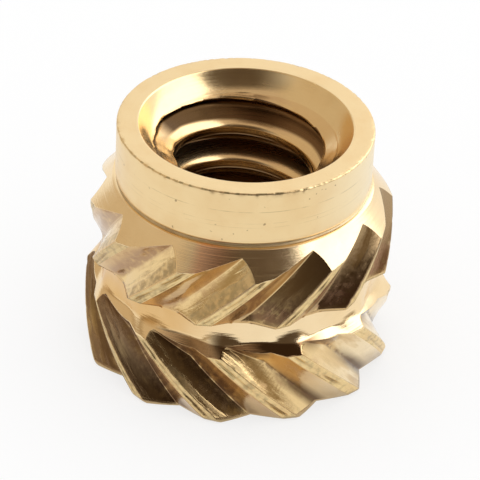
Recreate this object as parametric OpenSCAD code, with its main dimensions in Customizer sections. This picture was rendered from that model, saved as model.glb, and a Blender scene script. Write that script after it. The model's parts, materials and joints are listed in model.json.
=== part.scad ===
// Threaded brass insert for plastics, turned and knurled from one bar.
// Millimetres. The base plane is z = 0, the thread axis is the Z axis, and the
// plain collar with its countersunk mouth is at the top.

/* [Overall] */
// Length of the insert from base to rim
insert_len = 4; // [3.6:0.1:5.5]
// Diameter over the crests of the lower knurl
knurl_d = 4.86; // [4.78:0.02:5.8]
// Difference between the crest diameters of the lower and the upper knurl
upper_relief = 0.11; // [0:0.01:0.22]

/* [Collar] */
// Diameter of the plain collar
collar_d = 4; // [3.75:0.05:4.25]
// Height of the plain collar
collar_h = 0.92; // [0.55:0.01:1.1]
// Chamfer round the rim of the collar
rim_chamfer = 0.02; // [0.01:0.01:0.05]
// Chamfer round the lower edge of the collar
collar_foot_chamfer = 0.04; // [0.01:0.01:0.08]
// Diameter at the bottom of the undercut below the collar
undercut_d = 3.83; // [3.5:0.01:3.94]
// Height of the undercut below the collar
undercut_h = 0.06; // [0.03:0.01:0.16]

/* [Thread] */
// Nominal diameter of the thread
thread_d = 2.845; // [2.5:0.005:2.9]
// Pitch of the thread
thread_pitch = 0.635; // [0.5:0.005:0.65]
// Diameter of the countersink at the rim
mouth_d = 3.34; // [3.18:0.02:3.58]
// Depth of the steep upper part of the countersink
mouth_lead_h = 0.26; // [0.14:0.01:0.34]
// Angle of the upper part of the countersink from the axis
mouth_lead_angle = 31; // [20:1:40]
// Angle of the lower part of the countersink from the axis
mouth_floor_angle = 54; // [45:1:65]
// Diameter of the thread chamfer at the base
base_mouth_d = 3.04; // [2.9:0.02:3.3]

/* [Upper knurl] */
// Diameter where the shoulder starts below the undercut
shoulder_d = 4.08; // [4.02:0.02:4.2]
// Angle of the shoulder from the axis
shoulder_angle = 40; // [35:1:50]
// Height of the lower end of the upper knurl above the base
upper_foot_z = 1.77; // [1.66:0.01:1.93]
// Turn of the upper teeth about the axis at their lower end
upper_phase = 15; // [0:1:29]
// Share of the tooth pitch from an upper crest down to the groove below it
upper_groove_share = 0.57; // [0.5:0.01:0.6]
// Diameter at the bottom of the upper grooves
upper_groove_d = 4.25; // [4.2:0.01:4.4]

/* [Lower knurl] */
// Diameter of the waist between the two knurls
waist_d = 4.36; // [4.3:0.02:4.54]
// Height of the plain part of the waist
waist_h = 0.12; // [0.06:0.01:0.2]
// Angle of the cone below the waist from the axis
waist_cone_angle = 37; // [30:1:45]
// Difference between the crest diameter and the cone where the lower grooves start
runout_relief = 0.14; // [0.06:0.02:0.2]
// Length over which those grooves reach their depth
runout_h = 0.41; // [0.28:0.01:0.55]
// Chamfer round the base
base_chamfer = 0.04; // [0.02:0.01:0.14]
// Turn of the lower teeth about the axis at the base
lower_phase = 26.5; // [0:0.5:29.5]
// Share of the tooth pitch from a lower crest down to the groove below it
lower_groove_share = 0.61; // [0.5:0.01:0.7]
// Diameter at the bottom of the lower grooves
lower_groove_d = 4.33; // [4.24:0.01:4.46]

/* [Teeth] */
// Number of teeth round each knurl
teeth = 12; // [10:1:14]
// Share of the tooth pitch taken by the rolled strip below each crest
strip_share = 0.19; // [0.1:0.01:0.25]
// How far that strip falls away from the crest
strip_drop = 0.04; // [0.01:0.01:0.1]
// Slant of the teeth from the axis
tooth_slant = 47; // [40:1:50]

/* [Hidden] */
$fn = 96;

// Depth of a 60 degree internal thread as a share of its pitch, on diameter
thread_depth_ratio = 1.0825;
// Overlap that lets one solid run into the next
lap = 0.14;
// How far the tooth blanks stand proud of the turned outline
proud = 0.015;
// Turn of a tooth between two sections of a knurl, in degrees
turn_step = 2.2;

bore_r = (thread_d - thread_depth_ratio * thread_pitch) / 2;
collar_r = collar_d / 2;
knurl_r = knurl_d / 2;
upper_knurl_r = knurl_r - upper_relief / 2;
upper_groove_r = upper_groove_d / 2;
lower_groove_r = lower_groove_d / 2;
undercut_r = undercut_d / 2;
shoulder_r = shoulder_d / 2;
waist_r = waist_d / 2;
runout_r = (knurl_d - runout_relief) / 2;
upper_core_r = upper_groove_r - lap;
lower_core_r = lower_groove_r - lap;

collar_foot_z = insert_len - collar_h;
shoulder_z = collar_foot_z - undercut_h;
upper_crest_z = shoulder_z - (upper_knurl_r - shoulder_r) / tan(shoulder_angle);
cone_top_z = upper_foot_z - waist_h;
lower_crest_z = cone_top_z - (knurl_r - waist_r) / tan(waist_cone_angle);
runout_z = cone_top_z - (runout_r - waist_r) / tan(waist_cone_angle);

mouth_r = mouth_d / 2;
mouth_knee_r = mouth_r - mouth_lead_h * tan(mouth_lead_angle);
mouth_floor_h = (mouth_knee_r - bore_r) / tan(mouth_floor_angle);
base_mouth_r = base_mouth_d / 2;

tooth_pitch = 360 / teeth;
turn_per_mm = tan(tooth_slant) / knurl_r * 180 / PI;

// Point at radius r and angle a
function polar(r, a) = [r * cos(a), r * sin(a)];

// Section across the teeth: a crest, a strip that falls away from it, a groove,
// and flat walls between them. The strip follows the crest in the sense of side.
module tooth_section(crest_r, groove_r, groove_share, side) {
    points = [
        for (i = [0 : teeth - 1])
            let (crest = i * tooth_pitch)
                each [
                    polar(crest_r + proud, crest),
                    polar(crest_r - strip_drop, crest + strip_share * tooth_pitch),
                    polar(groove_r, crest + groove_share * tooth_pitch)
                ]
    ];
    scale([1, side])
        polygon(points);
}

// Slanting teeth from z = bottom to z = top. They turn by phase where z is at,
// and they climb anticlockwise with slant 1 or clockwise with slant -1.
module teeth_blank(bottom, top, at, phase, slant, crest_r, groove_r, groove_share) {
    turn = turn_per_mm * (top - bottom);
    translate([0, 0, bottom])
        rotate(phase - slant * turn_per_mm * (at - bottom))
            linear_extrude(
                height = top - bottom,
                twist = -slant * turn,
                slices = ceil(turn / turn_step),
                $fn = 0
            )
                tooth_section(crest_r, groove_r, groove_share, slant);
}

// Turned outline of the upper knurl, with the shoulder cone on top
module upper_outline() {
    rotate_extrude()
        polygon([
            [0, upper_foot_z],
            [upper_knurl_r, upper_foot_z],
            [upper_knurl_r, upper_crest_z],
            [shoulder_r, shoulder_z],
            [0, shoulder_z]
        ]);
}

// Turned outline of the lower knurl, with the waist and its cone on top
module lower_outline() {
    rotate_extrude()
        polygon([
            [0, 0],
            [knurl_r - base_chamfer, 0],
            [knurl_r, base_chamfer],
            [knurl_r, lower_crest_z],
            [waist_r, cone_top_z],
            [waist_r, upper_foot_z],
            [0, upper_foot_z]
        ]);
}

// Filling that lifts the grooves of the lower knurl out to the cone of the waist
module groove_runout() {
    fill_bottom_r = lower_groove_r - proud;
    fill_bottom_z = runout_z - runout_h;
    fill_slope = (runout_r - fill_bottom_r) / runout_h;
    fill_top_z = upper_foot_z + lap;
    rotate_extrude()
        polygon([
            [0, lap],
            [lower_core_r, lap],
            [lower_core_r, fill_bottom_z],
            [fill_bottom_r, fill_bottom_z],
            [fill_bottom_r + fill_slope * (fill_top_z - fill_bottom_z), fill_top_z],
            [0, fill_top_z]
        ]);
}

// Core inside the teeth, with the collar and the tapered undercut below it
module turned_core() {
    rotate_extrude()
        polygon([
            [0, lap],
            [upper_core_r, lap],
            [upper_core_r, shoulder_z - lap],
            [undercut_r - lap, shoulder_z - lap],
            [undercut_r, shoulder_z],
            [collar_r - collar_foot_chamfer, collar_foot_z],
            [collar_r, collar_foot_z + collar_foot_chamfer],
            [collar_r, insert_len - rim_chamfer],
            [collar_r - rim_chamfer, insert_len],
            [0, insert_len]
        ]);
}

// Countersunk mouth, thread bore at its minor diameter, and chamfer at the base
module threaded_bore() {
    rotate_extrude()
        polygon([
            [0, -lap],
            [base_mouth_r + lap, -lap],
            [bore_r, base_mouth_r - bore_r],
            [bore_r, insert_len - mouth_lead_h - mouth_floor_h],
            [mouth_knee_r, insert_len - mouth_lead_h],
            [mouth_r, insert_len],
            [mouth_r, insert_len + lap],
            [0, insert_len + lap]
        ]);
}

module insert_body() {
    color("#d9b56a")
        difference() {
            union() {
                turned_core();
                intersection() {
                    upper_outline();
                    teeth_blank(
                        upper_foot_z - lap, shoulder_z + lap, upper_foot_z, upper_phase, 1,
                        upper_knurl_r, upper_groove_r, upper_groove_share
                    );
                }
                intersection() {
                    lower_outline();
                    union() {
                        groove_runout();
                        teeth_blank(
                            -lap, cone_top_z + lap, 0, lower_phase, -1,
                            knurl_r, lower_groove_r, lower_groove_share
                        );
                    }
                }
            }
            threaded_bore();
        }
}

insert_body();
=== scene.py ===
"""Looks of a knurled and threaded brass insert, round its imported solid.

The mesh is one closed skin. Its outer columns follow the slanting teeth, so that crests, seams and
grooves are true edges, and its inner rows follow the thread.
"""

import json
import math

import bmesh
import bpy
import numpy as np
from mathutils import Matrix, Vector, noise


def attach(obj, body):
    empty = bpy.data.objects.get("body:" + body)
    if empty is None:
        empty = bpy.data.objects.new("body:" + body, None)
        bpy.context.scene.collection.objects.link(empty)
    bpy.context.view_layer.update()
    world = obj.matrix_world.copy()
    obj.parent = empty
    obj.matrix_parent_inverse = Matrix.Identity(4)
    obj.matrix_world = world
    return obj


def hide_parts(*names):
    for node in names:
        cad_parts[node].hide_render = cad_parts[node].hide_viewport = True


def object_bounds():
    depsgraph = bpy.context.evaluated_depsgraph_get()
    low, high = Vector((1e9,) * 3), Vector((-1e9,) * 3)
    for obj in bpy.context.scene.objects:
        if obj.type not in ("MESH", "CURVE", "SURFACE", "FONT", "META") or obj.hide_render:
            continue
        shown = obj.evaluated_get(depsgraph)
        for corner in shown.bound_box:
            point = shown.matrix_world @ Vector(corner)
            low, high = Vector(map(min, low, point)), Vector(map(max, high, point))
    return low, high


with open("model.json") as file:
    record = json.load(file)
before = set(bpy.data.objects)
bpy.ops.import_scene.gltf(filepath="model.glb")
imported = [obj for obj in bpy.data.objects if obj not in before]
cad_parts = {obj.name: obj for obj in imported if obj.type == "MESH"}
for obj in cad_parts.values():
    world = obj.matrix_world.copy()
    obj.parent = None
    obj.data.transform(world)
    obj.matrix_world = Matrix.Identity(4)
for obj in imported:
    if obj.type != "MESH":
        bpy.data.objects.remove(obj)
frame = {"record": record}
cad_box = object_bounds()
mounts = {m["name"]: m for m in frame["record"]["mounts"]}


def tan(degrees):
    return math.tan(math.radians(degrees))


# ---------------------------------------------------------------- sizes, in millimetres and degrees

MM = 0.001
LENGTH = cad_box[1].z / MM
KNURL_R = mounts["knurl"]["dims"]["r_mm"]
COLLAR_R = mounts["collar"]["dims"]["r_mm"]
BORE_R = mounts["thread"]["dims"]["r_mm"]

RIM_EDGE = 0.025
# Dents in the rim's outer edge: their depth, and how often they change round it
EDGE_DENTS = 0.02
DENTS_PER_DEGREE = 0.9
COLLAR_H = 0.92
COLLAR_FOOT_EDGE = 0.045
UNDERCUT_R = 1.955
UNDERCUT_H = 0.05
# Where the flat ledge under it begins, on the way from its floor to the shoulder's edge
LEDGE_START = 0.4

SHOULDER_R = 2.04
SHOULDER_SLOPE = 40
UPPER_CREST_R = KNURL_R - 0.055
UPPER_GROOVE_R = 2.125
UPPER_GROOVE_SHARE = 0.57
UPPER_PHASE = 15
UPPER_FOOT = 1.77
# Slope at which the floors of the upper grooves rise to the waist
UPPER_RUNOUT = 0.35

WAIST_R = 2.18
CREASE_R = 2.235
CREASE_Z = 1.41
CREASE_WAVE = 0.056
CREASE_SLOPE = 42
# Height at which the upper and lower columns meet, and the one where the lower crests meet the crease
WAIST_Z = CREASE_Z + 0.16
LOWER_CREST_TOP = CREASE_Z - 0.14
# Power of the neck's curve, which stays slim longer where this is higher
NECK_FLARE = 2.6
# Where the columns turn from the upper teeth to the lower ones, as shares of the neck's height
NECK_TURN_START, NECK_TURN_SPAN = 0.2, 0.7
RUNOUT_R = 2.30
RUNOUT_H = 0.3
LOWER_GROOVE_R = 2.165
LOWER_GROOVE_SHARE = 0.61
LOWER_PHASE = 26.5
BASE_EDGE = 0.035
CREST_BASE_EDGE = 0.09

TEETH = 12
TOOTH_SLANT = 47
STRIP_SHARE = 0.19
STRIP_DROP = 0.04
# Angles over which a crest is flat, before and after its middle
LAND_BEFORE = 0.35
LAND_AFTER = 0.8
TOOTH_PITCH = 360 / TEETH
TURN_PER_MM = math.degrees(tan(TOOTH_SLANT) / KNURL_R)

# Grooves along the rolled strip, as places across it, depths and widths, and how far they wander across
SEAM_CRACKS = ((0.45, 0.036, 0.17), (0.93, 0.016, 0.08))
CRACK_WANDER = 0.14
# How deep a crack is along its way, as shares of its depth
CRACK_MEAN, CRACK_SPREAD, CRACK_LEAST, CRACK_MOST = 0.7, 1.2, 0.1, 1.4
# A fold that crosses the upper gentle walls: its height and width, and its place at the foot and the top
FOLD_HEIGHT, FOLD_WIDTH, FOLD_FOOT, FOLD_TOP = 0.022, 0.14, 2.72, 2.2
FOLD_WANDER = 0.1
# How high the fold is on the whole, as a share of its full height
FOLD_MEAN = 0.6
STRIP_BUMPS = 0.006
# Nicks in the crests: their depth, and how high the noise rises before one begins
CREST_NICKS, NICK_START = 0.02, 0.1
WALL_WAVE = 0.006
# How often each mark changes along a tooth, per millimetre
BUMPS_PER_MM, CRACKS_PER_MM, NICKS_PER_MM = 11, 3, 14
FOLD_WANDERS_PER_MM, FOLD_HEIGHTS_PER_MM = 4, 2
# How often the waves on the walls change, across a part of a tooth and along it
WAVES_ACROSS, WAVES_PER_MM = 0.9, 1.3
# How far apart two neighbouring teeth lie in the noise, for the marks and for the waves
TOOTH_MARKS_APART, TOOTH_WAVES_APART = 3.7, 2.9
# The marks fade out over this share of a tooth's length at both ends
MARKS_FADE = 0.04
UPPER_SEED, LOWER_SEED = 20, 40

THREAD_PITCH = 0.635
THREAD_ROOT_R = 1.4225
THREAD_TURN = 80
CREST_HALF, ROOT_HALF = THREAD_PITCH / 8, THREAD_PITCH / 16
FLANK = THREAD_PITCH / 2 - CREST_HALF - ROOT_HALF
# How far the corners of the thread are rounded, as shares of its flank
CREST_TOP_ROUND, CREST_FOOT_ROUND, ROOT_ROUND = 0.3, 0.12, 0.18
# Burrs by the mouth: their height all round and where the thread begins, and that place and its width
RAGGED, BURR, BURR_ANGLE, BURR_SPREAD = 0.006, 0.03, 182, 24
# How far below the mouth's floor the burrs begin, and over what height they grow
BURR_DEPTH, BURR_GROWTH = 0.45, 0.3
# How often they change around and along the hole, and how many degrees of turn lean them by one
BURRS_AROUND, BURRS_PER_MM, BURR_LEAN = 6, 11, 18

MOUTH_R = 1.67
MOUTH_LEAD_H = 0.26
MOUTH_LEAD_SLOPE = 31
MOUTH_FLOOR_SLOPE = 54
BASE_MOUTH_R = 1.52
# Width of the flat ring between the rows of the rim or the base and the hole
LIP = 0.04

COLLAR_FOOT = LENGTH - COLLAR_H
SHOULDER_Z = COLLAR_FOOT - UNDERCUT_H
MOUTH_KNEE_R = MOUTH_R - MOUTH_LEAD_H * tan(MOUTH_LEAD_SLOPE)

# Columns of the mesh on each part of a tooth
LAND_COLUMNS = 2
STRIP_COLUMNS = 14
GENTLE_COLUMNS = 12
STEEP_COLUMNS = 8
TOOTH_COLUMNS = LAND_COLUMNS + STRIP_COLUMNS + GENTLE_COLUMNS + STEEP_COLUMNS
COLUMNS = TEETH * TOOTH_COLUMNS
# The inner skin has one column for so many of the outer ones
INNER_SHARE = 3
INNER_COLUMNS = COLUMNS // INNER_SHARE

# Rows on the underside of the upper teeth, as shares of the way in from the crests
FOOT_SHARES = (0, 0.05, 0.5)
# Rows of the mesh on each part of the outline
RIM_ROWS, EDGE_ROWS, COLLAR_ROWS, STEP_ROWS, UNDERCUT_ROWS = 5, 4, 9, 2, 3
SHOULDER_ROWS, BAND_ROWS, NECK_ROWS, CREASE_ROWS, RUNOUT_ROWS = 8, 40, 13, 8, 7
BASE_EDGE_ROWS, BASE_ROWS, LEAD_ROWS, BOWL_ROWS = 5, 5, 3, 14


def even(count):
    """count steps of equal width from 0 to 1, without the last."""
    return np.arange(count) / count


def eased(count):
    """count steps from 0 to 1, narrow at both ends, without the last."""
    return 0.5 - 0.5 * np.cos(np.pi * np.arange(count) / count)


# ---------------------------------------------------------------- camera

CAMERA_ELEVATION = 33.87
CAMERA_ROLL = 3.0
# The camera's distance, and how far right and down of the rim's centre it aims, in collar radii
CAMERA_DISTANCE = 24
AIM_RIGHT, AIM_DOWN = -0.048, 0.899
LENS, SENSOR_WIDTH = 233.4, 36
CLIP_START, CLIP_END = 0.001, 10


def make_camera():
    """A long lens that looks down on the insert from the front, turned a little about its axis."""
    elevation, roll = math.radians(CAMERA_ELEVATION), math.radians(CAMERA_ROLL)
    distance = CAMERA_DISTANCE * COLLAR_R * MM
    aim_right, aim_down = AIM_RIGHT * COLLAR_R * MM, AIM_DOWN * COLLAR_R * MM
    forward = Vector((0, math.cos(elevation), -math.sin(elevation)))
    level_down = Vector((0, -math.sin(elevation), -math.cos(elevation)))
    level_right = Vector((1, 0, 0))
    right = math.cos(roll) * level_right - math.sin(roll) * level_down
    down = math.sin(roll) * level_right + math.cos(roll) * level_down
    aim = Vector((0, 0, LENGTH * MM)) + aim_right * right + aim_down * down
    data = bpy.data.cameras.new("camera")
    data.sensor_width = SENSOR_WIDTH
    data.lens = LENS
    data.clip_start = CLIP_START
    data.clip_end = CLIP_END
    camera = bpy.data.objects.new("camera", data)
    turn = Matrix((right, -down, -forward)).transposed()
    camera.matrix_world = Matrix.Translation(aim - distance * forward) @ turn.to_4x4()
    bpy.context.scene.collection.objects.link(camera)
    bpy.context.scene.camera = camera


make_camera()

# ---------------------------------------------------------------- teeth

def tooth_section(crest_r, groove_r, groove_share):
    """Angle from the crest, radius and place across the tooth, at each column of one tooth.

    The place across runs from 0 to 1 on the land, 1 to 2 on the strip, 2 to 3 on the gentle wall
    and 3 to 4 on the steep one.
    """
    strip, groove = STRIP_SHARE * TOOTH_PITCH, groove_share * TOOTH_PITCH
    corners = [
        (-LAND_BEFORE, crest_r),
        (LAND_AFTER, crest_r),
        (strip, crest_r - STRIP_DROP),
        (groove, groove_r),
        (TOOTH_PITCH - LAND_BEFORE, crest_r),
    ]
    steps = [even(LAND_COLUMNS), even(STRIP_COLUMNS), eased(GENTLE_COLUMNS), eased(STEEP_COLUMNS)]
    angle, radius, across = [], [], []
    for part, share in enumerate(steps):
        (a, ra), (b, rb) = corners[part], corners[part + 1]
        a, b = math.radians(a), math.radians(b)
        x = ra * math.cos(a) + share * (rb * math.cos(b) - ra * math.cos(a))
        y = ra * math.sin(a) + share * (rb * math.sin(b) - ra * math.sin(a))
        angle.extend(np.degrees(np.arctan2(y, x)))
        radius.extend(np.hypot(x, y))
        across.extend(part + share)
    return np.array(angle), np.array(radius), np.array(across)


def round_the_knurl(angle, radius, across, side, first):
    """The columns of every tooth, in order of rising angle, starting at the tooth at angle first."""
    if side < 0:
        angle, radius, across = -angle[::-1], radius[::-1], across[::-1]
    angles = np.concatenate([first + angle + i * TOOTH_PITCH for i in range(TEETH)])
    return angles, np.tile(radius, TEETH), np.tile(across, TEETH)


UPPER_A, UPPER_R, UPPER_X = round_the_knurl(
    *tooth_section(UPPER_CREST_R, UPPER_GROOVE_R, UPPER_GROOVE_SHARE), 1, UPPER_PHASE
)
LOWER_A, LOWER_R, LOWER_X = round_the_knurl(
    *tooth_section(KNURL_R, LOWER_GROOVE_R, LOWER_GROOVE_SHARE), -1, LOWER_PHASE
)


def upper_angle(z):
    return UPPER_A + TURN_PER_MM * (z - UPPER_FOOT)


def lower_angle(z):
    return LOWER_A - TURN_PER_MM * z


def blend(a, b, share):
    return a + (b - a) * share


# The lower columns turn by whole teeth, so that they meet the upper ones at the waist
LOWER_A = LOWER_A + TOOTH_PITCH * round(np.mean(UPPER_A - lower_angle(WAIST_Z)) / TOOTH_PITCH)
EVEN_A = np.linspace(0, 360, COLUMNS, endpoint=False)
EVEN_A = EVEN_A + np.mean(upper_angle(SHOULDER_Z) - EVEN_A)

# ---------------------------------------------------------------- marks of rolling and handling

def chance(*place):
    """Smooth random value from about -1 to 1."""
    return noise.noise(Vector(place))


def on_each_tooth(along, seed):
    """A random value on each tooth that changes along it, at every column.

    Each kind of mark adds its own number to the seed of its knurl.
    """
    values = [chance(along, TOOTH_MARKS_APART * tooth, seed) for tooth in range(TEETH)]
    return np.repeat(values, TOOTH_COLUMNS)


def bell(off, width):
    return np.exp(-((off / width) ** 2))


def strip_marks(strip, z, seed):
    """Bumps and cracks on the rolled strips. strip goes from 0 to 1 across one."""
    marks = STRIP_BUMPS * on_each_tooth(BUMPS_PER_MM * z, seed + 5)
    for index, (centre, depth, width) in enumerate(SEAM_CRACKS):
        centre = centre + CRACK_WANDER * on_each_tooth(CRACKS_PER_MM * z, seed + index)
        varied = CRACK_MEAN + CRACK_SPREAD * on_each_tooth(CRACKS_PER_MM * z, seed + 2 + index)
        varied = np.clip(varied, CRACK_LEAST, CRACK_MOST)
        marks = marks - depth * varied * bell(strip - centre, width)
    return np.where((strip > 0) & (strip < 1), marks, 0)


def wall_waves(across, z, seed):
    """Slow waves on the walls, which die out at their edges."""
    teeth = np.arange(COLUMNS) // TOOTH_COLUMNS
    waves = [
        chance(WAVES_ACROSS * place, WAVES_PER_MM * z, TOOTH_WAVES_APART * tooth + seed)
        for place, tooth in zip(across, teeth)
    ]
    return WALL_WAVE * np.array(waves) * np.sin(np.pi * np.mod(across, 1))


def fold(across, z, seed):
    """The fold on the upper gentle walls."""
    rise = (z - UPPER_FOOT) / (SHOULDER_Z - UPPER_FOOT)
    wander = FOLD_WANDER * on_each_tooth(FOLD_WANDERS_PER_MM * z, seed + 7)
    off = across - FOLD_FOOT - rise * (FOLD_TOP - FOLD_FOOT) + wander
    height = np.clip(FOLD_MEAN + on_each_tooth(FOLD_HEIGHTS_PER_MM * z, seed + 9), 0, 1)
    return FOLD_HEIGHT * height * bell(off, FOLD_WIDTH)


def rolled_marks(across, z, seed, share):
    """How far one row of a knurl stands out. share is how far along the teeth it is, from 0 to 1."""
    marks = strip_marks(across - 1, z, seed)
    nicks = CREST_NICKS * np.clip(on_each_tooth(NICKS_PER_MM * z, seed + 8) - NICK_START, 0, 1)
    marks = np.where(across <= 1, marks - nicks, marks)
    marks = np.where(across >= 2, marks + wall_waves(across, z, seed), marks)
    if z > UPPER_FOOT:
        marks = marks + fold(across, z, seed)
    return marks * min(1, min(share, 1 - share) / MARKS_FADE)


# ---------------------------------------------------------------- outer skin, row by row

rows = []


def add_row(angle, radius, z, kind, across=None, marks=0):
    """One ring of the outer skin. kind names the surface below it, and marks raise it."""
    full = np.ones(COLUMNS)
    across = 0 * full if across is None else across
    rows.append((angle * full, (radius + marks) * full, z * full, across * full, kind, marks * full))


def add_rim():
    for share in even(RIM_ROWS):
        add_row(EVEN_A, blend(MOUTH_R + LIP, COLLAR_R - RIM_EDGE, share), LENGTH, "rim")
    add_edge(COLLAR_R, LENGTH, RIM_EDGE, 1, "edge")


def add_edge(radius, z, size, side, kind):
    """A rounded outer edge: with side 1 it runs over the top edge, with side -1 round the bottom one."""
    shares = even(EDGE_ROWS) if side > 0 else 1 - even(EDGE_ROWS)
    for turn in 90 * shares:
        inward = size * (1 - math.sin(math.radians(turn)))
        down = size * (1 - math.cos(math.radians(turn)))
        dents = 0
        if kind == "edge":
            dents = [chance(DENTS_PER_DEGREE * angle, turn / 90, 3) for angle in EVEN_A]
            dents = EDGE_DENTS * np.clip(dents, 0, 1)
        add_row(EVEN_A, radius - inward - dents, z - side * down - dents / 2, kind)


def add_collar():
    top, bottom = LENGTH - RIM_EDGE, COLLAR_FOOT + COLLAR_FOOT_EDGE
    for share in even(COLLAR_ROWS):
        add_row(EVEN_A, COLLAR_R, blend(top, bottom, share), "collar")
    add_edge(COLLAR_R, COLLAR_FOOT, COLLAR_FOOT_EDGE, -1, "collar")
    for share in even(STEP_ROWS):
        add_row(EVEN_A, blend(COLLAR_R - COLLAR_FOOT_EDGE, UNDERCUT_R, share), COLLAR_FOOT, "gap")
    for share in even(UNDERCUT_ROWS):
        angle = blend(EVEN_A, upper_angle(SHOULDER_Z), share)
        add_row(angle, UNDERCUT_R, blend(COLLAR_FOOT, SHOULDER_Z, share), "gap")
    ledge_r = blend(UNDERCUT_R, SHOULDER_R, LEDGE_START)
    add_row(upper_angle(SHOULDER_Z), ledge_r, SHOULDER_Z, "cone")


def add_upper_band():
    """The shoulder cone down to where it meets each column's tooth surface, then the teeth."""
    meet = SHOULDER_Z - (UPPER_R - SHOULDER_R) / tan(SHOULDER_SLOPE)
    for share in eased(SHOULDER_ROWS):
        z = blend(SHOULDER_Z, meet, share)
        add_row(upper_angle(z), SHOULDER_R + (SHOULDER_Z - z) * tan(SHOULDER_SLOPE), z, "cone")
    # Two rows in this share of the band keep the edge between the cone and the teeth sharp
    narrow = 0.012
    for share in np.append(narrow * even(2), narrow + (1 - 2 * narrow) * even(BAND_ROWS)):
        z = blend(meet, UPPER_FOOT, share)
        marks = rolled_marks(UPPER_X, z.min(), UPPER_SEED, share)
        radius = np.maximum(UPPER_R, WAIST_R - UPPER_RUNOUT * (z - UPPER_FOOT))
        add_row(upper_angle(z), radius, z, "tooth", UPPER_X, marks)
    foot_r = np.maximum(UPPER_R, WAIST_R)
    for share in FOOT_SHARES:
        add_row(UPPER_A, blend(foot_r, WAIST_R, share), UPPER_FOOT, "cone")


def crease_radius(angle):
    """Radius of the crease on the waist, which stands out above the lower crests."""
    crest = LOWER_PHASE - TURN_PER_MM * LOWER_CREST_TOP
    return CREASE_R + CREASE_WAVE * np.cos(np.radians(TEETH * (angle - crest)))


def add_waist():
    """Hollow neck from the upper teeth down to the crease, then the cone down to the lower teeth."""
    for share in even(NECK_ROWS):
        z = blend(UPPER_FOOT, CREASE_Z, share)
        turned = np.clip((share - NECK_TURN_START) / NECK_TURN_SPAN, 0, 1)
        angle = blend(UPPER_A, lower_angle(z), turned)
        add_row(angle, blend(WAIST_R, crease_radius(angle), share**NECK_FLARE), z, "cone")
    top_r = crease_radius(lower_angle(CREASE_Z))
    cone_end_r = np.maximum(LOWER_R, np.maximum(RUNOUT_R, top_r))
    cone_end_z = CREASE_Z - (cone_end_r - top_r) / tan(CREASE_SLOPE)
    for share in even(CREASE_ROWS):
        z = blend(CREASE_Z, cone_end_z, share)
        add_row(lower_angle(z), blend(top_r, cone_end_r, share), z, "cone", LOWER_X)
    groove = np.clip((RUNOUT_R - LOWER_R) / (RUNOUT_R - LOWER_GROOVE_R), 0, 1)
    runout_end = cone_end_z - RUNOUT_H * groove
    for share in even(RUNOUT_ROWS):
        z = blend(cone_end_z, runout_end, share)
        add_row(lower_angle(z), blend(cone_end_r, LOWER_R, share), z, "tooth", LOWER_X)
    return runout_end


def add_lower_band(top):
    """The lower teeth, whose crests are worn rounder than the grooves at the base."""
    height = (LOWER_R - LOWER_GROOVE_R) / (KNURL_R - LOWER_GROOVE_R)
    edge = blend(BASE_EDGE, CREST_BASE_EDGE, height**2)
    for share in even(BAND_ROWS):
        z = blend(top, edge, share)
        marks = rolled_marks(LOWER_X, z.min(), LOWER_SEED, share)
        add_row(lower_angle(z), LOWER_R, z, "tooth", LOWER_X, marks)
    for turn in 90 * even(BASE_EDGE_ROWS):
        z = edge * (1 - math.sin(math.radians(turn)))
        radius = LOWER_R - edge * (1 - math.cos(math.radians(turn)))
        add_row(lower_angle(z), radius, z, "base")
    for share in even(BASE_ROWS):
        angle = blend(LOWER_A, EVEN_A + 360 * round(np.mean(LOWER_A - EVEN_A) / 360), share)
        add_row(angle, blend(LOWER_R - edge, BASE_MOUTH_R + LIP, share), 0, "base")


add_rim()
add_collar()
add_upper_band()
add_lower_band(add_waist())

# ---------------------------------------------------------------- inner skin, with the thread

# Rows between a crest's edge and the root's, as shares of the flank, and then the heights of the rows
# of one turn above the middle of a crest
FLANK_ROWS = [-0.3, -0.2, -0.1, 0, 0.1, 0.2, 0.32, 0.5, 0.7, 0.84, 0.92, 1, 1.09]
CREST_TO_ROOT = [0] + [CREST_HALF + share * FLANK for share in FLANK_ROWS] + [THREAD_PITCH / 2]
TURN_ROWS = CREST_TO_ROOT[:-1] + [THREAD_PITCH - place for place in CREST_TO_ROOT[:0:-1]]
ROWS_PER_TURN = len(TURN_ROWS)


def rounded_step(share, low, high):
    """From 0 to 1 as share does, with its corners rounded over low and high."""
    share = np.clip(share, -low, 1 + high)
    rounded = np.where(share < low, (share + low) ** 2 / (4 * low), share)
    return np.where(share > 1 - high, 1 - (1 + high - share) ** 2 / (4 * high), rounded)


def above_crest(z, angle):
    """Height above the middle of the nearest crest, below 0 under it."""
    above = z - THREAD_PITCH * (angle - THREAD_TURN) / 360
    return np.mod(above + THREAD_PITCH / 2, THREAD_PITCH) - THREAD_PITCH / 2


def thread_radius(z, angle):
    """Radius of the hole's wall in the thread, at that height and angle."""
    above = above_crest(z, angle)
    share = (np.abs(above) - CREST_HALF) / FLANK
    crest_round = np.where(above > 0, CREST_TOP_ROUND, CREST_FOOT_ROUND)
    return BORE_R + rounded_step(share, crest_round, ROOT_ROUND) * (THREAD_ROOT_R - BORE_R)


def hole_radius(z, angle):
    """The thread, or the cones at the two ends of the hole where they are wider.

    The one at the base slopes at 45 degrees.
    """
    knee_z = LENGTH - MOUTH_LEAD_H
    floor = MOUTH_KNEE_R + np.minimum(z - knee_z, 0) * tan(MOUTH_FLOOR_SLOPE)
    return np.maximum(np.maximum(thread_radius(z, angle), floor), BASE_MOUTH_R - z)


INNER_A = EVEN_A[::INNER_SHARE]
inner_rows = []


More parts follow.
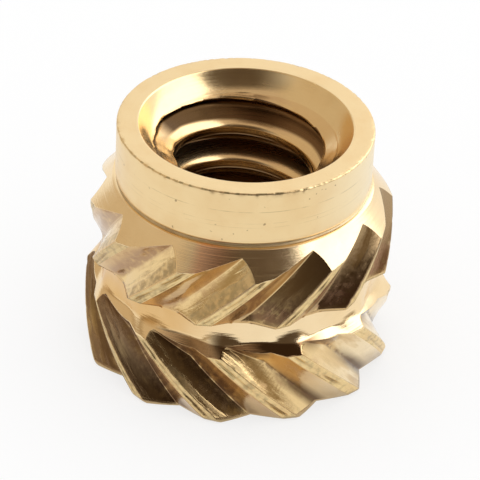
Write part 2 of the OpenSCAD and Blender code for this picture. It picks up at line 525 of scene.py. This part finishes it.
def add_inner(radius, z, kind, raised=0):
    """One ring of the inner skin. kind names the surface above it, and raised moves it inwards.

    Its place across is the share of the thread's depth, and its marks are the height above the nearest
    crest. Both are 0 on the cones at the ends.
    """
    full = np.ones(INNER_COLUMNS)
    slack = 0.003
    share = np.clip((radius * full - BORE_R) / (THREAD_ROOT_R - BORE_R), 0, 1)
    on_cone = radius * full > thread_radius(z * full, INNER_A) + slack
    share = np.where(on_cone, 0, share)
    above = np.where(on_cone, 0, above_crest(z * full, INNER_A))
    inner_rows.append((INNER_A, radius * full - raised, z * full, share, kind, above))


# The mouth's floor ends a little outside the thread's root
FLOOR_MARGIN = 0.005
FLOOR_WIDTH = MOUTH_KNEE_R - THREAD_ROOT_R - FLOOR_MARGIN
FLOOR_Z = LENGTH - MOUTH_LEAD_H - FLOOR_WIDTH / tan(MOUTH_FLOOR_SLOPE)


def add_mouth():
    """Bowl-like countersink: a steep lead that turns smoothly into a flatter floor."""
    # Two rings round the edge between the rim and the mouth
    add_inner(MOUTH_R + 0.4 * LIP, LENGTH, "rim")
    add_inner(MOUTH_R + 0.1 * LIP, LENGTH - 0.05 * LIP, "rim")
    knee_z = LENGTH - MOUTH_LEAD_H
    lead_start, lead_end = 0.03, 0.2
    for share in lead_start + (lead_end - lead_start) * even(LEAD_ROWS):
        add_inner(blend(MOUTH_R, MOUTH_KNEE_R, share), blend(LENGTH, knee_z, share), "mouth")
    start_r, start_z = blend(MOUTH_R, MOUTH_KNEE_R, lead_end), blend(LENGTH, knee_z, lead_end)
    for share in even(BOWL_ROWS):
        radii = blend(start_r, MOUTH_KNEE_R, share), blend(MOUTH_KNEE_R, THREAD_ROOT_R, share)
        heights = blend(start_z, knee_z, share), blend(knee_z, FLOOR_Z, share)
        add_inner(blend(*radii, share), blend(*heights, share), "mouth")


def burrs(z):
    """How far the burrs by the mouth stand out at every column of the inner skin."""
    near = np.clip((z - FLOOR_Z + BURR_DEPTH) / BURR_GROWTH, 0, 1)
    off = np.mod(INNER_A - BURR_ANGLE + 180, 360) - 180
    height = RAGGED + BURR * bell(off, BURR_SPREAD)
    turn = np.radians(INNER_A)
    ring = BURRS_AROUND * np.cos(turn), BURRS_AROUND * np.sin(turn)
    places = zip(*ring, BURRS_PER_MM * z - INNER_A / BURR_LEAN)
    return near * height * np.array([chance(*place) for place in places])


def add_thread():
    """Rows that climb with the thread, cut off level at both ends."""
    low, high = BASE_MOUTH_R - THREAD_ROOT_R, FLOOR_Z
    climb = THREAD_PITCH * INNER_A / 360
    crest = -THREAD_PITCH * THREAD_TURN / 360
    turn = math.floor((low - THREAD_PITCH - climb[0] - crest) / THREAD_PITCH)
    places = []
    while not places or places[-1] < high - climb[0]:
        places.extend(crest + turn * THREAD_PITCH + place for place in TURN_ROWS)
        turn += 1
    places.extend(place + THREAD_PITCH for place in places[-ROWS_PER_TURN:])
    for place in reversed(places):
        z = np.clip(place + climb, low, high)
        add_inner(hole_radius(z, INNER_A), z, "thread", burrs(z))


add_mouth()
thread_first = len(inner_rows)
add_thread()
thread_last = len(inner_rows) - 1
add_inner(BASE_MOUTH_R - LIP, LIP, "thread")
add_inner(BASE_MOUTH_R, 0, "base")

# ---------------------------------------------------------------- the skin as one mesh

KINDS = ["rim", "edge", "collar", "gap", "cone", "mouth", "thread", "base", "wall", "seam"]
# Places across a tooth between 0 and this one are on its land or its strip
SEAM_END = 1.97
# Points closer than this, in metres, are one point
SAME_PLACE = 1e-9


def to_points(ring):
    """The points of one ring, from its angles, radii and heights."""
    angle, radius, z = (np.array(part) for part in ring[:3])
    turn = np.radians(angle)
    return np.stack([radius * np.cos(turn), radius * np.sin(turn), z], axis=1)


def tooth_kind(across):
    """What lies beside a column: the strip with half of its land, or a wall with the other half."""
    return "seam" if 0 < across < SEAM_END else "wall"


def build_skin():
    """Vertices, faces, the kind of each face, and what the materials read at each vertex.

    The turned attribute holds the place along the outline and the direction from the axis. The rolled
    one holds the place across the tooth, the height and the depth of the marks, which are other things
    on the inner skin, as add_inner says.
    """
    points, faces, kinds, turned, rolled, starts = [], [], [], [], [], []
    for index, ring in enumerate(rows + inner_rows):
        starts.append(sum(map(len, points)))
        points.append(to_points(ring))
        angle, radius, z, across, _, marks = ring
        outline = z - radius if index < len(rows) else z + radius
        turn = np.radians(angle)
        turned.append(np.stack([outline, np.cos(turn), np.sin(turn)], axis=1))
        rolled.append(np.stack([across, z, marks], axis=1))
    for index in range(len(rows) - 1):
        kind, a, b = rows[index][4], starts[index], starts[index + 1]
        across = rows[index][3]
        for j in range(COLUMNS):
            k = (j + 1) % COLUMNS
            faces.append((a + j, b + j, b + k, a + k))
            kinds.append(tooth_kind(across[j]) if kind == "tooth" else kind)
    first, last = len(rows), len(rows) + len(inner_rows) - 1
    for outer, inner, flip in ((0, first, False), (len(rows) - 1, last, True)):
        a, b = starts[outer], starts[inner]
        for j in range(INNER_COLUMNS):
            k = (j + 1) % INNER_COLUMNS
            fine = [a + (INNER_SHARE * j + step) % COLUMNS for step in range(INNER_SHARE + 1)]
            face = [b + j] + fine + [b + k]
            faces.append(face[::-1] if flip else face)
            kinds.append(rows[outer][4])
    for index in range(len(inner_rows) - 1):
        kind, a, b = inner_rows[index + 1][4], starts[first + index], starts[first + index + 1]
        for j in range(INNER_COLUMNS):
            k = (j + 1) % INNER_COLUMNS
            corners = [a + j, a + k, b + k, b + j]
            if k == 0 and thread_first <= index <= thread_last:
                above = max(index - ROWS_PER_TURN, thread_first)
                corners[1] = starts[first + above]
            if k == 0 and thread_first <= index + 1 <= thread_last:
                above = max(index + 1 - ROWS_PER_TURN, thread_first)
                corners[2] = starts[first + above]
            faces.append(corners)
            kinds.append(kind)
    return np.vstack(points), faces, kinds, np.vstack(turned), np.vstack(rolled)


def make_skin():
    points, faces, kinds, turned, rolled = build_skin()
    mesh = bpy.data.meshes.new("insert_skin")
    mesh.from_pydata((points * MM).tolist(), [], faces)
    mesh.polygons.foreach_set("material_index", [KINDS.index(kind) for kind in kinds])
    mesh.polygons.foreach_set("use_smooth", [True] * len(faces))
    for name, values in (("turned", turned), ("rolled", rolled)):
        mesh.attributes.new(name, "FLOAT_VECTOR", "POINT").data.foreach_set("vector", values.ravel())
    work = bmesh.new()
    work.from_mesh(mesh)
    bmesh.ops.remove_doubles(work, verts=work.verts, dist=SAME_PLACE)
    work.to_mesh(mesh)
    work.free()
    skin = bpy.data.objects.new("insert_skin", mesh)
    bpy.context.scene.collection.objects.link(skin)
    return skin


# ---------------------------------------------------------------- materials

class Nodes:
    """Short calls for building a node tree."""

    def __init__(self, tree):
        self.tree = tree

    def add(self, kind, inputs=None, **settings):
        node = self.tree.nodes.new(kind)
        for name, value in settings.items():
            setattr(node, name, value)
        for name, value in (inputs or {}).items():
            self.set(node.inputs[name], value)
        return node

    def set(self, socket, value):
        if isinstance(value, bpy.types.NodeSocket):
            self.tree.links.new(value, socket)
        else:
            socket.default_value = value

    def math(self, operation, a, b):
        return self.add("ShaderNodeMath", {0: a, 1: b}, operation=operation).outputs[0]

    def ramp(self, value, low, high, to_low=0.0, to_high=1.0, smooth=False):
        """value taken from low..high to to_low..to_high, and held at both ends."""
        names = ("Value", "From Min", "From Max", "To Min", "To Max")
        inputs = dict(zip(names, (value, low, high, to_low, to_high)))
        kind = "SMOOTHSTEP" if smooth else "LINEAR"
        return self.add("ShaderNodeMapRange", inputs, interpolation_type=kind).outputs["Result"]

    def mix(self, share, a, b):
        node = self.add("ShaderNodeMix", data_type="RGBA")
        for socket, value in ((node.inputs[0], share), (node.inputs[6], a), (node.inputs[7], b)):
            self.set(socket, value)
        return node.outputs[2]

    def noise(self, place, density, detail=3.0):
        """Noise from 0 to 1. density gives its blobs per unit of place, in one number or in three."""
        if not isinstance(density, tuple):
            density = (density,) * 3
        stretched = self.add("ShaderNodeVectorMath", {0: place, 1: density}, operation="MULTIPLY")
        inputs = {"Vector": stretched.outputs["Vector"], "Scale": 1, "Detail": detail}
        return self.add("ShaderNodeTexNoise", inputs).outputs["Fac"]


# Bare metal, by surface
BRIGHT = (0.87, 0.66, 0.36)
CONE_METAL = (0.92, 0.71, 0.42)
THREAD_METAL = (0.82, 0.59, 0.31)
WALL_METAL = (0.80, 0.58, 0.28)
SEAM_METAL = (0.86, 0.65, 0.32)
GAP_METAL = (0.68, 0.54, 0.33)
BASE_METAL = (0.52, 0.37, 0.2)

# Stains, and colours of painted light and shade, roughly from the palest to the darkest
COLLAR_HIGHLIGHT = (0.96, 0.84, 0.58)
LOWER_WALL_HIGHLIGHT = (0.95, 0.78, 0.5)
WAIST_HIGHLIGHT = (0.90, 0.72, 0.46)
PINK_REFLECTION = (0.95, 0.54, 0.30)
TARNISH = (0.78, 0.53, 0.25)
WARM_REFLECTION = (0.70, 0.43, 0.17)
TAN = (0.62, 0.43, 0.22)
AMBER = (0.60, 0.38, 0.17)
DRAB = (0.5, 0.38, 0.22)
COPPER = (0.50, 0.28, 0.14)
OLIVE = (0.42, 0.32, 0.165)
UPPER_VALLEY_SHADE = (0.42, 0.26, 0.15)
UMBER = (0.40, 0.28, 0.15)
SHADE = (0.38, 0.26, 0.14)
RUST = (0.36, 0.20, 0.12)
UPPER_RIGHT_SHADE = (0.3, 0.2, 0.11)
LOWER_LEFT_SHADE = (0.30, 0.185, 0.10)
STEEP_LEFT_SHADE = (0.23, 0.14, 0.08)
CREASE_SHADE = (0.22, 0.10, 0.03)
OXIDE = (0.17, 0.095, 0.05)
DEEP_SHADE = (0.13, 0.055, 0.016)
LOWER_VALLEY_SHADE = (0.12, 0.065, 0.025)
MOUTH_SHADE = (0.04, 0.022, 0.008)

PER_MM = 1 / MM
# How many blobs of each kind of noise there are in a metre
PITS, SPECKS, GRAINS, PATCHES = 22 * PER_MM, 11 * PER_MM, 9 * PER_MM, 2.3 * PER_MM


class Brass:
    """Brass with the marks that one kind of surface gets.

    lay names the attribute that the tool marks follow, lines how many there are per unit across and
    along it. relief is their depth and grain the depth of the fine grain, in micrometres. stain is
    how far the colour goes to the tarnish.
    """

    def __init__(self, name, roughness, colour=BRIGHT, tarnish=TARNISH, stain=0.5,
                 lines=(45, 1.2), relief=0.4, grain=0.6, lay="turned"):
        self.material = bpy.data.materials.new(name)
        self.material.use_nodes = True
        self.tree = Nodes(self.material.node_tree)
        self.relief, self.grain = relief, grain
        tree = self.tree
        self.place = tree.add("ShaderNodeTexCoord").outputs["Object"]
        turned = tree.add("ShaderNodeAttribute", attribute_name="turned").outputs["Vector"]
        rolled = tree.add("ShaderNodeAttribute", attribute_name="rolled").outputs["Vector"]
        self.outline, self.cosine, self.sine = tree.add("ShaderNodeSeparateXYZ", {0: turned}).outputs
        self.across, self.z, self.depth = tree.add("ShaderNodeSeparateXYZ", {0: rolled}).outputs
        # Place on a tooth, with a third part that differs from tooth to tooth
        apart = {"X": self.across, "Y": self.z, "Z": tree.math("MULTIPLY", self.cosine, 2.2)}
        self.on_tooth = tree.add("ShaderNodeCombineXYZ", apart).outputs[0]
        way = turned if lay == "turned" else self.on_tooth
        self.marks = tree.noise(way, (lines[0], lines[1], lines[1] if lay == "turned" else 1))
        self.pits = tree.noise(self.place, PITS, 2)
        patches = tree.noise(self.place, PATCHES, 5)
        self.tint = tree.mix(tree.ramp(patches, 0.42, 0.72, 0, stain), (*colour, 1), (*tarnish, 1))
        specks = tree.ramp(tree.noise(self.place, SPECKS, 1), 0.68, 0.76)
        self.stain(tarnish, specks, 0.35 * stain)
        self.rough = tree.ramp(self.marks, 0.3, 0.7, *roughness)
        self.roughen(tree.ramp(patches, 0.5, 0.75), 0.06)

    def to_side(self, start, full, least=0.0, most=1.0):
        """A share by the side of the insert: start and full run from -1, left, to 1, right."""
        return self.tree.ramp(self.cosine, start, full, least, most)

    def to_back(self, start, full, least=0.0, most=1.0):
        """A share by the direction from the axis: start and full run from -1, front, to 1, back."""
        return self.tree.ramp(self.sine, start, full, least, most)

    def at_height(self, start, full, least=0.0, most=1.0):
        """A share by the height in millimetres."""
        return self.tree.ramp(self.z, start, full, least, most)

    def on_part(self, start, full):
        """A share by the place across a tooth, where the valley between two teeth is at 3."""
        return self.tree.ramp(self.across, start, full)

    def both(self, *shares):
        """The product of several shares."""
        whole = shares[0]
        for share in shares[1:]:
            whole = self.tree.math("MULTIPLY", whole, share)
        return whole

    def stain(self, colour, *shares):
        """Goes to a colour, as far as the product of the shares says."""
        self.tint = self.tree.mix(self.both(*shares), self.tint, (*colour, 1))

    def roughen(self, share, amount):
        more = self.tree.math("MULTIPLY", share, amount)
        self.rough = self.tree.math("ADD", self.rough, more)

    def finish(self):
        tree, micron = self.tree, 0.001 * MM
        shader = self.material.node_tree.nodes["Principled BSDF"]
        tree.set(shader.inputs["Base Color"], self.tint)
        tree.set(shader.inputs["Roughness"], self.rough)
        inputs = {"Height": self.marks, "Distance": self.relief * micron, "Strength": 1}
        bump = tree.add("ShaderNodeBump", inputs).outputs["Normal"]
        inputs = {"Height": self.pits, "Distance": self.grain * micron, "Strength": 1, "Normal": bump}
        bump = tree.add("ShaderNodeBump", inputs).outputs["Normal"]
        tree.set(shader.inputs["Normal"], bump)
        shader.inputs["Metallic"].default_value = 1
        return self.material


# Tool lines round the collar: how far down they are, as a share of its height, and how wide and dark
COLLAR_LINES = ((0.36, 0.009, 0.5), (0.58, 0.006, 0.3), (0.66, 0.006, 0.25))


def collar_brass():
    """Turned satin, with faint tool lines round it and a few small pits.

    A painted highlight makes its right side paler.
    """
    skin = Brass("brass_collar", (0.28, 0.36), lines=(40, 0.8), relief=1.2, grain=1.4, stain=0.35)
    tree = skin.tree
    # Painted highlight: the right side of the collar is paler
    skin.stain(COLLAR_HIGHLIGHT, skin.to_side(0.5, 0.95, 0, 0.7))
    rim = LENGTH - COLLAR_R
    ragged = tree.ramp(tree.noise(skin.place, 3.5 * PER_MM, 3), 0.42, 0.56)
    for share, width, dark in COLLAR_LINES:
        off = tree.math("ABSOLUTE", tree.math("SUBTRACT", skin.outline, rim - share * COLLAR_H), 0)
        skin.stain(OLIVE, tree.ramp(off, width, 0.3 * width), ragged, dark)
    pits = tree.ramp(tree.noise(skin.place, 13 * PER_MM, 0), 0.8, 0.84)
    skin.stain(OXIDE, pits, 0.6)
    return skin.finish()


def cone_brass():
    """The turned shoulder, and the waist, which is smoother.

    Painted reflections make the waist redder on the left and put a pink patch on the front of the
    shoulder. A painted highlight makes the waist paler away from its far sides, and painted shade
    darkens it just under its crease.
    """
    skin = Brass("brass_cone", (0.15, 0.21), colour=CONE_METAL, stain=0.35, lines=(45, 0.7),
                 relief=2.2, grain=0.5)
    tree = skin.tree
    waist = skin.at_height(UPPER_FOOT + 0.1, UPPER_FOOT)
    skin.roughen(waist, -0.07)

    # Painted reflection: the waist is redder on the left, in patches, and less so below the crease
    redder = tree.ramp(tree.noise(skin.place, 1.6 * PER_MM, 2), 0.3, 0.6, 0.75, 1)
    above = skin.at_height(CREASE_Z - 0.02, CREASE_Z + 0.05, 0.25, 1)
    skin.stain(WARM_REFLECTION, waist, redder, above, skin.to_side(0.1, -0.5))
    # Painted highlight: the waist is paler away from its far left and right
    skin.stain(WAIST_HIGHLIGHT, waist, skin.to_side(-0.4, 0.1), skin.to_side(0.75, 0.4), 0.45)

    # Painted reflection: a pink patch on the front of the shoulder, a little left of the middle
    patch = skin.both(skin.to_side(-0.34, -0.27), skin.to_side(0.02, -0.15), skin.to_back(0, -0.2))
    skin.stain(PINK_REFLECTION, patch, tree.ramp(waist, 1, 0), 0.9)
    # Painted shade: the waist is darker just under its crease, away from its far left and right
    middle = skin.both(skin.to_side(-0.55, -0.3), skin.to_side(0.62, 0.5))
    skin.stain(CREASE_SHADE, middle, skin.at_height(CREASE_Z, CREASE_Z - 0.02), 0.85)
    return skin.finish()


def edge_brass():
    """The worn outer edge of the rim, burred and dirty along the front."""
    skin = Brass("brass_edge", (0.25, 0.4), lines=(30, 12), relief=3, grain=4, stain=0.6)
    spots = skin.tree.ramp(skin.tree.noise(skin.place, GRAINS, 3), 0.46, 0.58)
    skin.stain(OLIVE, spots, skin.to_back(-0.35, -0.7), 0.85)
    return skin.finish()


def thread_brass():
    """Polished crests, and grooves that are painted dark as shade, most at the left of the mouth.

    Painted shade darkens the undersides of the crests as well.
    """
    skin = Brass("brass_thread", (0.16, 0.24), colour=THREAD_METAL, lines=(24, 0.6), relief=0.3)
    tree = skin.tree
    top, below = LENGTH - 0.8, LENGTH - 1.15
    by_mouth = skin.at_height(below, top)
    groove = tree.math("ADD", skin.across, skin.to_back(0.55, 0.95, 0, 0.14))
    dark = tree.ramp(groove, 0.34, 0.52, smooth=True)
    start = skin.both(by_mouth, skin.to_side(-0.9, -0.99))
    dark = skin.both(dark, tree.ramp(start, 0, 1, 1, 0.15))
    under = tree.ramp(skin.depth, 0.0, -0.03, 0, 0.8)
    # Painted shade: the grooves and the undersides of the crests are painted dark
    skin.stain(DEEP_SHADE, tree.math("MAXIMUM", skin.both(dark, skin.at_height(below, top, 0.8, 0.92)), under))
    # More painted shade in the grooves by the mouth, on the left
    skin.stain(MOUTH_SHADE, dark, by_mouth, skin.to_side(0.0, -0.5, 0, 0.8))
    skin.roughen(dark, 0.08)
    return skin.finish()


def wall_brass():
    """Tooth walls: the gentle ones amber, the steep ones polished, and rough and olive by the crests.

    Painted shade makes the upper ones darker on the right and in their valleys on the left. On the lower
    ones painted shade makes them brown in front and on the left, in the valleys on the right and on the
    tops of the grooves under the crease, and a painted highlight makes them pale on the right. They have
    oxide along the bottoms of the valleys.
    """
    skin = Brass("brass_wall", (0.09, 0.15), colour=WALL_METAL, lay="rolled", lines=(6, 2),
                 relief=1.2, grain=0.8)
    tree = skin.tree
    broad = tree.noise(skin.on_tooth, (1.6, 1.1, 1.5), 3)
    streaks = tree.noise(skin.on_tooth, (5, 2.2, 1), 5)
    grains = tree.noise(skin.place, GRAINS, 4)
    lower = skin.at_height(UPPER_FOOT, CREASE_Z)
    upper = skin.at_height(UPPER_FOOT, UPPER_FOOT + 0.1)
    steep = skin.on_part(2.95, 3.1)

    skin.stain(AMBER, skin.on_part(3.05, 2.8), tree.ramp(broad, 0.25, 0.5), skin.to_side(0.9, 0.5), 0.8)
    copper = skin.both(tree.ramp(broad, 0.5, 0.62), tree.ramp(grains, 0.4, 0.6))
    skin.stain(COPPER, copper, 0.35)
    skin.roughen(copper, 0.12)

    near = tree.math("ADD", skin.across, tree.ramp(streaks, 0.3, 0.7, -0.3, 0.3))
    near = tree.math("ADD", near, tree.math("MULTIPLY", lower, -0.3))
    by_crest = skin.both(tree.ramp(near, 3.3, 3.7, smooth=True), skin.to_side(0.55, 0.2, 0.15, 1))
    skin.stain(OLIVE, by_crest, tree.ramp(grains, 0.38, 0.6), 0.7)
    skin.roughen(by_crest, 0.22)

    # The upper walls
    # Painted shade: the upper walls are darker on the right
    skin.stain(UPPER_RIGHT_SHADE, upper, skin.to_side(0.35, 0.6), 0.8)
    foot = skin.both(upper, steep, skin.at_height(UPPER_FOOT + 0.55, UPPER_FOOT + 0.25))
    skin.stain(RUST, foot, skin.to_side(-0.12, 0.08), tree.ramp(grains, 0.3, 0.5), 0.8)
    # Painted shade in the upper valleys on the left, in grainy patches
    by_valley = skin.both(upper, skin.on_part(2.15, 2.5), skin.on_part(3.1, 2.95))
    skin.stain(UPPER_VALLEY_SHADE, by_valley, skin.to_side(-0.2, -0.5), tree.ramp(grains, 0.25, 0.5), 0.75)
    skin.stain(SHADE, upper, skin.on_part(3.05, 2.9), skin.to_side(-0.3, 0.05), 0.85)

    # The lower walls: a painted highlight makes them pale on the right, they are darker at the foot,
    # and painted shade darkens the valleys on the right, with oxide along the valley bottoms
    right = skin.both(lower, skin.to_side(0.45, 0.8))
    skin.stain(LOWER_WALL_HIGHLIGHT, right, tree.ramp(broad, 0.38, 0.52), 0.8)
    skin.stain(TAN, right, tree.ramp(broad, 0.5, 0.36), tree.ramp(streaks, 0.3, 0.6, 0.4, 1), 0.75)
    skin.stain(UMBER, skin.at_height(0.55, 0.15), skin.on_part(3.05, 2.9), 0.7)
    off_valley = tree.math("ABSOLUTE", tree.math("SUBTRACT", skin.across, 3), 0)
    valley = skin.both(lower, tree.ramp(off_valley, 0.42, 0.1), skin.at_height(1.0, 0.45))
    # Painted shade in the lower valleys on the right, growing towards the base
    skin.stain(LOWER_VALLEY_SHADE, valley, skin.to_side(0.0, 0.3), 0.9)
    skin.stain(OXIDE, lower, tree.ramp(off_valley, 0.13, 0.03), tree.ramp(grains, 0.35, 0.55), 0.7)

    # Painted shade on the lower walls in front and on the left, in grainy and streaky patches, and on
    # the tops of all the lower grooves under the crease
    groove = skin.both(lower, skin.on_part(2.3, 2.6), skin.on_part(3.8, 3.3))
    skin.stain(OXIDE, groove, skin.to_side(0.25, -0.05), tree.ramp(grains, 0.25, 0.5), 0.8)
    skin.stain(LOWER_LEFT_SHADE, lower, skin.to_side(-0.6, -0.85), tree.ramp(streaks, 0.35, 0.55), 0.75)
    skin.stain(STEEP_LEFT_SHADE, lower, steep, skin.to_side(-0.3, -0.6), tree.ramp(broad, 0.3, 0.5), 0.75)
    # Painted shade on the tops of the lower grooves, under the crease
    skin.stain(DEEP_SHADE, groove, skin.at_height(CREASE_Z - 0.3, CREASE_Z - 0.12), 0.85)
    skin.pits = tree.math("ADD", skin.pits, skin.both(by_crest, grains, 9))
    return skin.finish()


def seam_brass():
    """The rolled strips: rough and light on their ridges, with dark cracks between them."""
    skin = Brass("brass_seam", (0.3, 0.42), colour=SEAM_METAL, lay="rolled", lines=(6, 9),
                 relief=5, grain=5, stain=0.6)
    skin.stain(OLIVE, skin.tree.ramp(skin.tree.noise(skin.place, GRAINS, 4), 0.48, 0.66, 0, 0.6))
    skin.stain(OLIVE, skin.to_side(-0.1, -0.7, 0, 0.3))
    skin.stain(OXIDE, skin.tree.ramp(skin.depth, -0.008, -0.035, 0, 0.55))
    return skin.finish()


def make_materials():
    rim = Brass("brass_rim", (0.32, 0.4), lines=(30, 4), relief=1.6, grain=2.4, stain=0.3)
    gap = Brass("brass_gap", (0.4, 0.5), colour=GAP_METAL, tarnish=DRAB, stain=1)
    mouth = Brass("brass_mouth", (0.18, 0.25), lines=(30, 0.8), relief=0.5, grain=0.5, stain=0.3)
    base = Brass("brass_base", (0.3, 0.38), colour=BASE_METAL, tarnish=OLIVE, stain=0.9, relief=1.2,
                 grain=2)
    return {
        "rim": rim.finish(),
        "edge": edge_brass(),
        "collar": collar_brass(),
        "gap": gap.finish(),
        "cone": cone_brass(),
        "mouth": mouth.finish(),
        "thread": thread_brass(),
        "base": base.finish(),
        "wall": wall_brass(),
        "seam": seam_brass(),
    }


# ---------------------------------------------------------------- studio

# Boards beyond the view that show in the metal: name, azimuth, elevation, width, height, distance,
# colour and soft edges. Azimuth 0 is the camera's side, + to its right. Sizes are in millimetres, and
# the soft edges, left, right, lower and upper, are shares of the board.
BOARDS = (
    ("right_softbox", 104, 38, 116, 58, 60, (2.3, 2.3, 2.35), (0.06, 0.1, 0.12, 0.12)),
    ("low_right", 76, 10, 66, 14, 56, (0.30, 0.23, 0.14), (0.2, 0.3, 0.25, 0.4)),
    ("low_left", -66, 10, 120, 18, 58, (0.40, 0.32, 0.21), (0.3, 0.25, 0.25, 0.5)),
    ("camera_side", 8, 31, 180, 80, 62, (0.09, 0.064, 0.043), (0.43, 0.18, 0.08, 0.2)),
    ("overhead", 0, 89, 44, 44, 64, (0.13, 0.08, 0.05), (0.3, 0.3, 0.3, 0.3)),
    ("left_side", -95, 34, 190, 110, 75, (0.66, 0.56, 0.43), (0.2, 0.25, 0.15, 0.2)),
    ("ceiling", 0, 80, 150, 120, 90, (0.62, 0.52, 0.43), (0.2, 0.2, 0.2, 0.2)),
)
FLOOR_HALF = 2.0
FLOOR_WHITE = 0.96
# How far the floor glows white for the camera and in the metal. The rest of it takes the shadow.
FLOOR_GLOW = 0.7
WORLD_STRENGTH = 1.04


def flat_mesh(name, half_w, half_h):
    mesh = bpy.data.meshes.new(name)
    corners = [(-half_w, -half_h, 0), (half_w, -half_h, 0), (half_w, half_h, 0), (-half_w, half_h, 0)]
    mesh.from_pydata(corners, [], [(0, 1, 2, 3)])
    return mesh


def bare_material(name):
    """A material with nothing in it yet, and its node tree."""
    material = bpy.data.materials.new(name)
    material.use_nodes = True
    material.node_tree.nodes.clear()
    return material, Nodes(material.node_tree)


def add_board(name, azimuth, elevation, width, height, distance, colour, soft):
    half_w, half_h = width * MM / 2, height * MM / 2
    mesh = flat_mesh(name, half_w, half_h)
    board = bpy.data.objects.new(name, mesh)
    a, e = math.radians(azimuth), math.radians(elevation)
    away = Vector((math.sin(a) * math.cos(e), -math.cos(a) * math.cos(e), math.sin(e)))
    right = Vector((math.cos(a), math.sin(a), 0))
    turn = Matrix((right, away.cross(right), away)).transposed()
    up = turn.col[1]
    if up.z < 0:
        turn.col[1], turn.col[2] = -up, -away
    board.matrix_world = Matrix.Translation(away * distance * MM) @ turn.to_4x4()

    material, tree = bare_material(name)
    place = tree.add("ShaderNodeTexCoord").outputs["Object"]
    split = tree.add("ShaderNodeSeparateXYZ", {0: place})
    cover = 1.0
    edges = (("X", -half_w), ("X", half_w), ("Y", -half_h), ("Y", half_h))
    for (axis, edge), share in zip(edges, soft):
        inner = edge - 2 * share * edge
        low, high = min(edge, inner), max(edge, inner)
        to = (0.0, 1.0) if edge < 0 else (1.0, 0.0)
        cover = tree.math("MULTIPLY", cover, tree.ramp(split.outputs[axis], low, high, *to, smooth=True))
    glow = tree.add("ShaderNodeEmission", {"Color": (*colour, 1), "Strength": 1})
    clear = tree.add("ShaderNodeBsdfTransparent")
    both = tree.add("ShaderNodeMixShader", {0: cover, 1: clear.outputs[0], 2: glow.outputs[0]})
    output = tree.add("ShaderNodeOutputMaterial")
    tree.set(output.inputs["Surface"], both.outputs[0])
    mesh.materials.append(material)
    bpy.context.scene.collection.objects.link(board)
    board.visible_camera = False
    board.visible_diffuse = False
    board.visible_shadow = False


def add_floor():
    mesh = flat_mesh("floor", FLOOR_HALF, FLOOR_HALF)
    floor = bpy.data.objects.new("floor", mesh)
    material, tree = bare_material("floor")
    matt = tree.add("ShaderNodeBsdfDiffuse", {"Color": (FLOOR_WHITE, FLOOR_WHITE, FLOOR_WHITE, 1)})
    path = tree.add("ShaderNodeLightPath")
    seen = tree.math("ADD", path.outputs["Is Camera Ray"], path.outputs["Is Glossy Ray"])
    seen = tree.math("ADD", seen, path.outputs["Is Transmission Ray"])
    white = tree.add("ShaderNodeEmission", {"Color": (1, 1, 1, 1), "Strength": 1})
    share = tree.math("MULTIPLY", seen, FLOOR_GLOW)
    both = tree.add("ShaderNodeMixShader", {0: share, 1: matt.outputs[0], 2: white.outputs[0]})
    output = tree.add("ShaderNodeOutputMaterial")
    tree.set(output.inputs["Surface"], both.outputs[0])
    mesh.materials.append(material)
    bpy.context.scene.collection.objects.link(floor)


def add_world():
    world = bpy.data.worlds.new("studio")
    bpy.context.scene.world = world
    world.use_nodes = True
    back = world.node_tree.nodes["Background"]
    back.inputs["Strength"].default_value = WORLD_STRENGTH
    back.inputs["Color"].default_value = (1, 1, 1, 1)


add_floor()
add_world()
for board in BOARDS:
    add_board(*board)

skin = make_skin()
materials = make_materials()
for kind in KINDS:
    skin.data.materials.append(materials[kind])
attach(skin, "root")
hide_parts("insert_body")

bpy.context.scene.view_settings.view_transform = "Standard"
